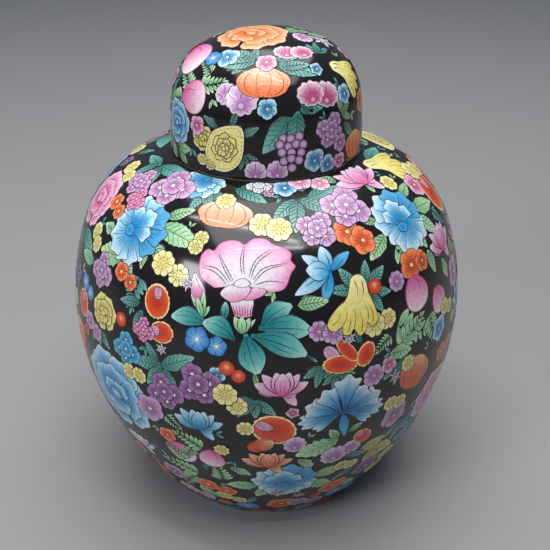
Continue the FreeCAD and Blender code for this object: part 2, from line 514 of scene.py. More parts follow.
def blossom(b, radius, rim, heart, family, petals=6, eye=YELLOW, tilt=0.0, power=0.8):
    """A small round flower with scalloped petals and fine lines from its eye."""
    b.sheet(disc(radius, lobes=petals, depth=0.2, sink=tilt), fade(heart, rim, power), family,
            cols=petals * 4 + 4, ring=True)
    rays = petals if petals < 9 else petals // 2
    for i in range(rays):
        for da, size, width in ((0.0, 0.84, 0.38), (0.5 / rays, 0.62, 0.28), (-0.18 / rays, 0.5, 0.26)):
            a = 2 * math.pi * (i / rays + da)
            x, y = radius * math.sin(a), radius * math.cos(a)
            b.stroke([(0.27 * x, 0.27 * y - 0.73 * tilt * radius),
                      (size * x, size * y - (1 - size) * tilt * radius)], width)
    b.at(0, -tilt * radius).sheet(disc(0.2 * radius), flat(eye), family, cols=12, ring=True, width=0.25)


def carnation(b, radius):
    """A frilled flower seen aslant."""
    blossom(b.squeezed(1.05, 0.85), radius, WHITE, (0.72, 0.22, 0.46), "pink", 11, PINK, 0.5, 1.7)


def pansy(b, radius, rim, heart, family):
    """Five round overlapping petals, lined from a small heart."""
    for angle, size in ((40, 0.95), (-38, 1.0), (112, 0.95), (-108, 0.9), (178, 0.95)):
        petal = b.at(0, 0, angle)
        petal.sheet(fan(size * radius, 104, 0.03, 2, round_tip=0.26), fade(heart, rim, 1.2), family,
                    cols=14, width=0.4)
        for lean in (-20, 0, 20):
            petal.ray(lean, 0.22 * radius, (0.74 - 0.01 * abs(lean)) * size * radius, 0.3)
    b.sheet(disc(0.15 * radius), flat(CREAM), family, cols=12, ring=True, width=0.25)


def rank(b, radius, petals, spread, ruffle, waves, round_tip, paint, family, ink, lines=()):
    """Ruffled petals, each with its turn and reach, and lines from one part of it to another."""
    for angle, size in petals:
        b.at(0, 0, angle).sheet(fan(size * radius, spread, ruffle, waves, round_tip=round_tip),
                                paint, family, cols=16 if lines else 14, ink=ink)
        for lean, start, end, width in lines:
            b.ray(angle + lean, start * radius, end * size * radius, width)


def peony(b, radius, deep, pale, family, ink=INK):
    """A full bloom: ruffled petals in three ranks around a folded heart."""
    rim = fade(deep, pale, 3.0)
    rank(b, radius, ((168, 0.86), (118, 0.94), (-122, 0.92), (70, 1.0), (-72, 1.0), (24, 1.02), (-28, 1.0)),
         66, 0.035, 3.2, 0.2, rim, family, ink,
         [(lean, 0.46, 0.78 - 0.004 * lean, 0.34) for lean in (-19, -11, -3, 6, 15)])
    for angle, size in ((105, 0.66), (-112, 0.68), (52, 0.74), (-50, 0.76), (0, 0.72)):
        b.at(0, -0.02 * radius, angle).sheet(fan(size * radius, 70, 0.045, 3.2, round_tip=0.2), rim,
                                             family, cols=16, ink=ink)
        for lean in (-16, -6, 5, 15):
            b.ray(angle + lean, 0.3 * radius, 0.76 * size * radius, 0.32)
    rank(b.at(0, -0.04 * radius), radius, ((160, 0.5), (-150, 0.46), (38, 0.42), (-42, 0.44)), 84,
         0.06, 3, 0.3, fade(deep, pale, 1.8), family, ink)
    b.at(0, 0.02 * radius).sheet(disc(0.2 * radius, 0.16 * radius, 5, 0.15), fade(pale, deep),
                                 family, cols=24, ring=True, ink=ink)


def cup_peony(b, radius, deep, pale, family):
    """A peony tilted back: a cup of folded petals in front, a crown behind it and a pale skirt."""
    mid = 0.55 * np.array(deep) + 0.45 * np.array(pale)
    ranks = (
        # where the petals meet, what they fade to and how late, the turn and reach of each
        ((0.06, -0.04), pale, 1.0, ((-102, 0.84), (112, 0.9), (-134, 0.9), (142, 0.9),
                                    (-164, 0.86), (171, 0.9))),
        ((0.0, 0.0), pale, 1.3, ((76, 0.96), (48, 0.98), (18, 1.0))),
        ((0.0, 0.0), mid, 1.0, ((-78, 0.94), (-46, 1.0), (-14, 1.0))),
        ((-0.1, -0.14), pale, 1.5, ((-50, 0.7), (34, 0.66), (-8, 0.82))),
    )
    for (x, y), tip, power, petals in ranks:
        for angle, size in petals:
            petal = b.at(x * radius, y * radius, angle)
            petal.sheet(fan(size * radius, 54, 0.05, 2.6, round_tip=0.22), fade(deep, tip, power),
                        family, cols=16)
            for lean in (-13, -4, 6, 14):
                reach = (0.72 - 0.004 * lean) * size * radius
                petal.ray(lean, 0.36 * size * radius, reach, 0.32)
    b.at(-0.1 * radius, -0.16 * radius).sheet(disc(0.2 * radius, 0.15 * radius, 5, 0.15),
                                              fade(deep, mid), family, cols=24, ring=True)


def skirted_bloom(b, radius):
    """A large open flower of pointed petals around a button."""
    for row, (count, size) in enumerate(((8, 1.0), (7, 0.68))):
        for i in range(count):
            petal = b.at(0, 0, 360 * (i + 0.5 * row) / count)
            shape = leaf(size * radius, 0.6 * size * radius, 0.05, 0.58, tip=0.2)
            petal.sheet(shape, fade(ROSE, BLUSH, 1.2), "pink", cols=10, ink=WINE)
            for v in (-0.3, 0.05, 0.35):
                petal.stroke([shape(u, v) for u in (0.3, 0.5, 0.72)], 0.34)
    b.sheet(disc(0.2 * radius, lobes=9, depth=0.12), fade(CREAM, YELLOW), "yellow", cols=31, ring=True)


def ruffled_fan(b, radius, deep, pale, family):
    """A carnation seen from its side: ruffled petals above, a frilled skirt below."""
    b.at(0, 0, 188).sheet(leaf(0.74 * radius, 0.28 * radius, 0, 0.4), fade(deep, SKY), family, cols=10)
    for angle, size, spread in ((120, 0.8, 30), (-120, 0.84, 30), (100, 1.05, 32), (-100, 1.05, 32)):
        b.at(0, 0.1 * radius, angle).sheet(fan(size * radius, spread, 0.06, 3.5),
                                           fade(deep, pale, 1.8), family, cols=18)
        for lean in (-9, -3, 3, 9):
            b.at(0, 0.1 * radius).ray(angle + lean, 0.25 * radius, 0.76 * size * radius, 0.34)
    for angle, size, spread in ((66, 0.98, 40), (-68, 0.98, 44), (34, 0.92, 42), (-38, 0.86, 42),
                                (-4, 1.06, 44)):
        b.at(0, 0, angle).sheet(fan(size * radius, spread, 0.05, 2.6, round_tip=0.14),
                                fade(deep, WHITE, 1.8), family, cols=22)
    for k in range(17):
        angle = -86 + 172 * k / 16
        size = 0.62 + 0.16 * math.cos(2.3 * k)
        bend = 0.05 * radius * math.sin(math.radians(angle))
        b.at(0, 0, angle).stroke([(0, 0.06 * radius), (bend, 0.4 * radius), (0, size * radius)], 0.42)


def lotus(b, radius, root, tip, family):
    """A water lily seen from its side: pointed petals above two drooping ones."""
    for angle, size in ((97, 0.8), (-136, 0.78), (-104, 0.5)):
        b.at(0, -0.1 * radius, angle).sheet(leaf(size * radius, 0.42 * radius, 0.1),
                                            fade(root, tip), family, cols=10)
    for angle, size, wide in ((58, 1.06, 0.5), (-56, 1.0, 0.44), (34, 1.08, 0.46), (-30, 1.0, 0.44)):
        petal = b.at(0, -0.28 * radius, angle)
        shape = leaf(size * radius, wide * radius, -0.08 * math.copysign(1, angle), 0.52)
        petal.sheet(shape, fade(root, tip, 1.2), family, cols=10)
        petal.stroke([shape(u, 0.0) for u in (0.1, 0.4, 0.7)], 0.34)
    for angle, size in ((13, 0.98), (-14, 0.98), (0, 0.92)):
        petal = b.at(0, -0.32 * radius, angle)
        shape = leaf(size * radius, 0.56 * radius, 0, 0.5)
        petal.sheet(shape, fade(root, tip, 1.2), family, cols=10)
        for v in (-0.3, 0.3):
            petal.stroke([shape(u, v) for u in (0.08, 0.3, 0.55)], 0.3)


def magnolia(b, radius, deep, pale, family):
    """A tilted bloom of a few large pointed petals."""
    for reach, wide, tint in (((-0.9, 0.62), 0.44, pale), ((-0.22, 0.86), 0.52, pale),
                              ((0.74, 0.6), 0.4, SKY), ((-0.32, -1.02), 0.44, SKY),
                              ((-1.28, -0.66), 0.5, pale), ((-0.82, 0.12), 0.68, pale)):
        length = math.hypot(*reach) * radius
        petal = b.at(0, 0, -math.degrees(math.atan2(*reach)))
        shape = leaf(length, wide * radius, 0.05, 0.5, tip=0.08)
        petal.sheet(shape, fade(deep, tint, 0.7), family, cols=12)
        petal.stroke([shape(u, 0.3) for u in (0.05, 0.35, 0.7)], 0.36)


def chrysanthemum(b, radius, rim, heart, family, petals=14):
    """Narrow petals in two ranks around a button."""
    for size, offset in ((1.0, 0), (0.68, 180 / petals)):
        for i in range(petals):
            b.at(0, 0, i * 360 / petals + offset).sheet(
                leaf(size * radius, 0.34 * size * radius, 0.04, 0.62, tip=0.3),
                fade(heart, rim), family, cols=8, width=0.3)
    b.sheet(disc(0.26 * radius, lobes=7, depth=0.12), fade(rim, heart), family, cols=25, ring=True,
            width=0.3)


def curled_citron(b, size, share=1.0):
    """A pale oval fruit edged with dots and filled with wandering folds."""
    radius = share * size
    outer = drawn([(-0.62, -0.95), (0.1, -1.05), (0.72, -0.6), (0.92, 0.2), (0.82, 0.98),
                   (0.2, 1.02), (-0.5, 0.72), (-0.82, 0.2), (-0.95, -0.4)])
    b.at(0, 0, 0, radius).sheet(outer, fade(YELLOW, CREAM, 1.6), "yellow", cols=58, ring=True)
    peony(b.at(0, -0.02 * radius, -25).squeezed(0.86, 1.0), 0.72 * radius, YELLOW, CREAM, "yellow")
    for i in range(36):
        x, y = outer(np.array(0.86), np.array(i / 18 - 1))
        dot(b, radius * float(x), radius * float(y), 0.7)


def pumpkin(b, size, wide, tall, low, high, dots=False):
    """A ribbed fruit, pale at the top."""
    def paint(u, v):
        t = np.clip(0.3 + 0.75 * u * np.cos(v * math.pi), 0, 1)[..., None] ** 1.2
        return np.array(low) * (1 - t) + np.array(high) * t
    rx, ry = wide * size, tall * size
    b.sheet(disc(rx, ry, 5, 0.08, turn=36), paint, "orange", cols=44, ring=True, ink=(0.45, 0.16, 0.08))
    for k in (-0.62, -0.22, 0.25, 0.66):
        b.stroke([(k * rx * c, ry * s) for s, c in ((0.82, 0.45), (0.4, 0.95), (-0.1, 1.08),
                                                    (-0.55, 0.9), (-0.82, 0.55))], 0.45)
    if dots:
        for i in range(34):
            a = i * 2 * math.pi / 34
            dot(b, 0.84 * rx * math.sin(a), 0.84 * ry * math.cos(a))
            if i % 2:
                dot(b, 0.62 * rx * math.sin(a), 0.7 * ry * math.cos(a))


def dot(b, x, y, size=0.55):
    """A brush dab."""
    half = size / b.size / 2
    b.stroke([(x - half, y), (x + half, y)], 0.6, taper=(0.5, 0.5))


def frilled(b, size, wide, tall):
    """Red flesh in a pale frilled skin."""
    rx, ry = wide * size, tall * size
    b.sheet(disc(rx, ry, 18, 0.08), flat(CREAM), "red", cols=58, ring=True, ink=(0.80, 0.45, 0.28),
            width=0.25)
    b.sheet(disc(rx * 0.88, ry * 0.88), fade(RED, (0.92, 0.38, 0.16), 1.8), "red", cols=32,
            ring=True, ink=(0.90, 0.50, 0.30), width=0.3)


def seed_pocket(b, rx, ry):
    """A rosy hollow with three rows of seeds."""
    b.sheet(disc(rx, ry, egg=-0.2), fade(PINK, LILAC), "pink", cols=22, ring=True, width=0.3)
    count = int(ry * 1.5)
    for i in range(count):
        y = ry * (0.75 - 1.5 * i / max(count - 1, 1))
        for x in (-0.45, 0.0, 0.45):
            dot(b, rx * x * (1 - 0.4 * abs(y) / ry), y + 0.4 * x, 0.8)


def pomegranate(b, radius, pocket=(0.05, 0.55), aspect=1.2):
    """A split fruit with a pocket of rosy seeds."""
    frilled(b, radius, 1, aspect)
    seed_pocket(b.at(pocket[0] * radius, pocket[1] * radius), 0.28 * radius, 0.48 * radius)


def split_pomegranate(b, radius):
    """Two red halves with seeds between them."""
    seed_pocket(b.at(-0.35 * radius, 0.25 * radius, 40), 0.32 * radius, 0.6 * radius)
    frilled(b.at(0.05 * radius, -0.32 * radius, -8), radius, 0.98, 0.52)
    frilled(b.at(0.42 * radius, 0.35 * radius, 40), radius, 0.34, 0.85)


def peach(b, radius):
    """A peach with a cleft, blushing at its tip."""
    def paint(u, v):
        t = np.clip(0.5 + 0.62 * u * np.cos((v - 0.12) * math.pi), 0, 1)[..., None]
        return np.array((0.95, 0.88, 0.90)) * (1 - t) + np.array(ROSE) * t
    b.sheet(disc(radius, 1.08 * radius, egg=0.16), paint, "pink", cols=32, ring=True,
            ink=(0.55, 0.2, 0.36))
    b.stroke([(0.1 * radius, 1.0 * radius), (0.42 * radius, 0.45 * radius),
              (0.36 * radius, -0.2 * radius)], 0.4)


def berry(b, radius):
    """A round red berry with a pale gleam."""
    b.sheet(disc(radius, sink=-0.3), fade(APRICOT, RED, 0.5), "red", cols=18, ring=True, width=0.3,
            ink=(0.5, 0.1, 0.06))


def grapes(b, size):
    """A hanging bunch of round grapes, each with a pale middle."""
    radius = 0.2 * size
    for row, count in enumerate((3, 4, 3, 3, 1)):
        for k in range(count):
            x = (k - (count - 1) / 2) * 1.66 + 0.24 * math.sin(5.1 * k + 2.3 * row)
            y = (2 - row) * 1.4 + 0.26 * math.sin(3.7 * k + 1.3 * row)
            b.at(x * radius, y * radius).sheet(disc(radius), fade(LILAC, (0.55, 0.30, 0.52), 2.2),
                                               "mauve", cols=18, ring=True)


def sepals(b, x, y, shapes):
    """Small green leaves around a flower's foot, each with its reach and width; the line on it
    goes as far as the last number says."""
    for reach, wide, line in shapes:
        sepal = b.at(x, y, -math.degrees(math.atan2(*reach)))
        sepal.sheet(leaf(math.hypot(*reach), wide, 0, 0.5), fade(LEAF, MINT), "green", cols=10)
        sepal.stroke([(0, 1), (0, line)], 0.4)


def morning_glory(b, radius):
    """A wide pink trumpet with paired lines to its rim, two turned lips, a tube and a calyx.
    The brush starts at its throat."""
    b = b.at(0, 0, 0, radius / 26)
    rosy = (0.91, 0.50, 0.70)
    white = (0.95, 0.91, 0.94)
    edge = (0.70, 0.32, 0.50)
    tube = drawn([(-4.8, -20), (-6.4, -15), (-7.7, -10.5), (-3, -9.0), (5.2, -9.5), (5, -15),
                  (4.8, -19.5)], (0, -20.2))
    b.sheet(tube, wash(tube, rosy, white, -20, -11), "pink", cols=18)
    for x in (-0.9, -0.62, -0.34, -0.06, 0.22, 0.5, 0.8):
        b.stroke([(4.6 * x, -19.5), (6.2 * x - 0.6, -12.5)], 0.5, taper=(0.1, 0.6))
    sepals(b, -0.4, -30, (((7.4, 9.6), 3.4, 7), ((-4.6, 10.6), 5.6, 7), ((4.2, 10.2), 5.4, 7),
                          ((-0.4, 10.8), 6.0, 7)))
    rim = [(-16.3, -4.5), (-20.6, -2), (-25, 1.5), (-26.3, 7.5), (-25.5, 14), (-22, 17.6), (-18.4, 16.6),
           (-15.4, 21), (-9.6, 23.3), (-4.4, 22.6), (-1.2, 20.6), (2.9, 24.6), (9.6, 25.2), (14.2, 22.2),
           (21.1, 20), (25, 17.4), (24.8, 13.2), (27.5, 10), (25.3, 6), (24, 1.5), (22, -3), (16.3, -5),
           (11.5, -4.7)]
    trumpet = drawn(rim, (0, -2))
    b.sheet(trumpet, fade(white, rosy, 3.2), "pink", cols=114, ink=edge)
    veins = (((-9.6, -2.2), (-16.6, 4.2), (-25.2, 7.0)), ((-8.2, -1.4), (-15.6, 6.2), (-24.2, 7.8)),
             ((-7.2, -1.0), (-11.6, 6.2), (-15.8, 15)), ((-5.8, -0.6), (-10, 6.2), (-15.4, 15.2)),
             ((-1.5, 3), (-3, 11), (-1.8, 20.2)), ((-0.2, 3), (-1.5, 11), (-1.2, 20.2)),
             ((2.0, 1.8), (5.2, 11.5), (13.6, 19.4)), ((3.0, 1.2), (6.6, 10.6), (15.6, 19)),
             ((4.0, 0.2), (10.0, 7.6), (23.2, 11.6)), ((4.8, -0.6), (11.4, 6.6), (22.6, 10.8)),
             ((5.4, -2.0), (13, 0.8), (22, 0.2)))
    for vein in veins:
        b.stroke(vein, 0.5, taper=(0.2, 0.4))
    lips = ([(3.8, -3.5), (9.6, -3.2), (12.5, -4.5), (9.6, -7.8), (3.8, -10.2), (-1, -9.5)],
            [(4, -3.4), (-2.9, -1.6), (-9.6, -3.0), (-13.4, -7.2), (-10.6, -10.2), (-5.8, -11.9),
             (0.4, -9.6)], [(-6.2, -2.4), (-4, 0.6), (0, 1.6), (3.8, -1), (1, -3.2), (-2.6, -3.6)])
    for points in lips:
        lip = drawn(points)
        b.sheet(lip, wash(lip, rosy, white, -11.5, -2.5, -0.25), "pink", cols=40, ring=True)


def buddha_hand(b, length, share=1.0):
    """A fingered citron: a yellow fruit that narrows upwards, with fingers hanging below."""
    b = b.at(0, 0, 0, share * length / 30)
    palm = drawn([(0, 12), (3, 14), (7, 13.5), (9.5, 9), (10, 3), (12, -2), (14, -8), (15, -14), (11, -17),
                  (8, -13), (6, -19), (2, -21), (-1, -16), (-4, -19), (-8, -18), (-8, -13), (-13, -15.5),
                  (-17, -12), (-15, -7), (-10, -2), (-5, 1), (-2, 6)])
    b.sheet(palm, wash(palm, YELLOW, CREAM, -14, 14), "yellow", cols=92, ring=True)
    for finger in (((8, -13), (8.5, -8), (7, -3)), ((-1, -16), (0.5, -10), (0, -4)),
                   ((-8, -13), (-5, -9), (-4.5, -4)), ((-14, -11.5), (-10, -9), (-8.5, -5)),
                   ((11, -15.5), (11.5, -10), (10, -4.5)), ((3.5, -19), (4.5, -13), (3.5, -7)),
                   ((-5, -17.5), (-3, -12.5), (-2.5, -8)), ((2, 11), (3.5, 6), (2.5, 1)),
                   ((6.5, 10), (7, 5), (5.5, 0))):
        b.stroke(finger, 0.5, taper=(0.15, 0.5))


def bud(b, length):
    """A closed flower in a leafy cup."""
    b = b.at(0, 0, 0, length / 26)
    closed = drawn([(-5.6, 10), (-6.6, 15), (-5.2, 25), (-1, 20.5), (2, 15), (1.6, 10.5), (-2, 8.6)])
    b.sheet(closed, wash(closed, ROSE, (0.95, 0.88, 0.93), 10, 21), "pink", cols=46, ring=True)
    b.stroke([(-5, 24.4), (-2.4, 19), (0.4, 13.4)], 0.4)
    cup = (((-6.6, 13), 3.4), ((4.4, 6.6), 3.6), ((1.2, 15), 4.4), ((-3, 11.4), 4.6))
    sepals(b, 0, 0, [(reach, wide, 0.7 * math.hypot(*reach)) for reach, wide in cup])


def leaves(b, size, angles, root, tip, family):
    """Toothed leaves spreading from one twig."""
    for k, angle in enumerate(angles):
        reach = size * (1 - 0.1 * (k % 3))
        veined_leaf(b.at(0, 0, angle), reach, 0.46 * size / reach, root, tip, family)


def sprout(b, size, root, tip, family):
    """Two small plain leaves."""
    for angle in (34, -28):
        shape = leaf(size, 0.5 * size, 0.1)
        b.at(0, 0, angle).sheet(shape, fade(root, tip), family, width=0.25)
        b.at(0, 0, angle).stroke([shape(u, 0.0) for u in (0.1, 0.4, 0.8)], 0.25)


def pair(b, size, rim, heart, family, petals=6, eye=YELLOW, power=0.8):
    """Two blossoms side by side."""
    for x, y, turn, share in ((0.55, -0.22, 20, 0.62), (-0.42, 0.16, 0, 0.7)):
        blossom(b.at(x * size, y * size, turn), share * size, rim, heart, family, petals, eye,
                power=power)


def trio(b, size, rim, heart, family):
    """Blossoms crowded together, as in a hydrangea head."""
    for x, y, share in ((0.0, 0.48, 0.52), (-0.48, -0.1, 0.52), (0.46, -0.12, 0.56),
                        (0.0, -0.5, 0.46), (0.02, 0.02, 0.5)):
        blossom(b.at(x * size, y * size, 31 * (x + y)), share * size, rim, heart, family, eye=WHITE)


# Each kind: the function that draws it, then its arguments after the brush and the size.
KINDS = {
    "glory": (morning_glory,),
    "bud": (bud,),
    "peach": (peach,),
    "berry": (berry,),
    "grapes": (grapes,),
    "hand": (buddha_hand,),
    "big hand": (buddha_hand, 1.7),
    "citron": (curled_citron,),
    "small citron": (curled_citron, 0.5),
    "blue peony": (peony, BLUE, PALE_BLUE, "blue"),
    "pink peony": (peony, ROSE, (0.97, 0.86, 0.90), "pink", WINE),
    "orange peony": (peony, (0.92, 0.42, 0.18), (0.99, 0.82, 0.66), "orange", RUST),
    "rose": (peony, (0.86, 0.76, 0.30), CREAM, "yellow"),
    "blue cup": (cup_peony, BLUE, PALE_BLUE, "blue"),
    "blue cup tilted": (cup_peony, BLUE, PALE_BLUE, "blue"),
    "pink cup": (cup_peony, ROSE, BLUSH, "pink"),
    "pink magnolia big": (skirted_bloom,),
    "ruffled fan": (ruffled_fan, BLUE, PALE_BLUE, "blue"),
    "pink fan": (ruffled_fan, ROSE, PALE_PINK, "pink"),
    "magnolia": (magnolia, BLUE, PALE_BLUE, "blue"),
    "pink lotus": (lotus, ROSE, (0.93, 0.86, 0.93), "pink"),
    "blue lotus": (lotus, BLUE, PALE_BLUE, "blue"),
    "pale lotus": (lotus, (0.85, 0.72, 0.78), WHITE, "pink"),
    "orange lotus": (lotus, (0.86, 0.34, 0.18), (0.96, 0.78, 0.64), "orange"),
    "pumpkin": (pumpkin, 1, 0.6, (0.96, 0.54, 0.34), (0.99, 0.88, 0.80)),
    "round pumpkin": (pumpkin, 1, 0.8, (0.86, 0.36, 0.14), (0.97, 0.74, 0.50)),
    "dotted pumpkin": (pumpkin, 1, 0.6, (0.97, 0.50, 0.28), (0.98, 0.80, 0.66), True),
    "long fruit": (pumpkin, 0.62, 1, (0.86, 0.34, 0.14), (0.97, 0.80, 0.62)),
    "pomegranate": (pomegranate,),
    "small pomegranate": (pomegranate, (-0.45, 0.1), 0.85),
    "pomegranate no seeds": (frilled, 0.8, 1.15),
    "split pomegranate": (split_pomegranate,),
    "yellow pair": (pair, CREAM, YELLOW, "yellow", 8),
    "orange pair": (pair, (0.97, 0.66, 0.48), (0.90, 0.30, 0.10), "orange", 5, CREAM, 2.0),
    "blue pair": (pair, BLUE, PALE_BLUE, "blue", 5, WHITE),
    "pink pair": (pair, BLUSH, ROSE, "pink", 6, CREAM),
    "mauve pair": (pair, LILAC, MAUVE, "mauve", 7, PINK),
    "mauve trio": (trio, LILAC, MAUVE, "mauve"),
    "plum trio": (trio, (0.68, 0.50, 0.70), (0.42, 0.20, 0.44), "mauve"),
    "pink trio": (trio, PINK, ROSE, "pink"),
    "blue trio": (trio, SKY, BLUE, "blue"),
    "pale trio": (trio, WHITE, PALE_BLUE, "blue"),
    "plum": (pansy, (0.66, 0.50, 0.70), (0.40, 0.20, 0.42), "mauve"),
    "mauve": (pansy, LILAC, MAUVE, "mauve"),
    "pink": (pansy, (0.95, 0.80, 0.88), (0.78, 0.30, 0.52), "pink"),
    "blue": (pansy, PALE_BLUE, BLUE, "blue"),
    "orange": (pansy, (0.97, 0.58, 0.38), (0.86, 0.26, 0.08), "orange"),
    "yellow": (blossom, CREAM, YELLOW, "yellow", 8),
    "mauve bloom": (blossom, LILAC, MAUVE, "mauve", 8, PINK),
    "deep blue": (blossom, (0.10, 0.45, 0.78), (0.75, 0.88, 0.95), "blue", 5, WHITE),
    "carnation": (carnation,),
    "pale carnation": (blossom, (0.93, 0.86, 0.93), (0.66, 0.36, 0.62), "mauve", 11, LILAC, 0.4, 1.2),
    "star": (chrysanthemum, WHITE, LILAC, "blue", 6),
    "mum": (chrysanthemum, YELLOW, (0.80, 0.70, 0.25), "yellow"),
    "feather": (feather, LEAF, MINT, "green"),
    "teal feather": (feather, FOREST, AQUA, "teal"),
    "curly leaf": (curly_leaf, LEAF, MINT),
    "gold leaf": (curly_leaf, (0.66, 0.68, 0.34), (0.90, 0.88, 0.58)),
    "teal leaf": (veined_leaf, 0.46, FOREST, AQUA, "teal"),
    "green leaf": (veined_leaf, 0.5, LEAF, MINT, "green"),
    "teal sprig": (leaves, (70, -64, 22, -20), FOREST, AQUA, "teal"),
    "green sprig": (leaves, (66, -60, 0), LEAF, MINT, "green"),
    "green sprout": (sprout, LEAF, MINT, "green"),
    "teal sprout": (sprout, TEAL, AQUA, "teal"),
}


def plant(kind, brush, size):
    draw, *arguments = KINDS[kind]
    draw(brush, size, *arguments)


# ---------------------------------------------------------------- what grows where
# Big smooth leaves: azimuth and run of the root, then of the tip, width and bow.
BROAD_LEAVES = (
    (-15, 187.5, -26, 188, 11.5, 0.1), (-11, 190, -10.8, 201.5, 5.5, 0),
    (-8, 180, -17, 188.5, 12.5, 0.14), (10, 171, 13, 166, 2.6, 0), (-1.5, 188, 7, 200.5, 12, -0.1),
    (-2, 187.5, 12.3, 185, 15, -0.04), (-5.3, 184, -2, 160, 16, 0.02),
    (-4, 183.5, 10.8, 170.5, 14.5, -0.05),
)

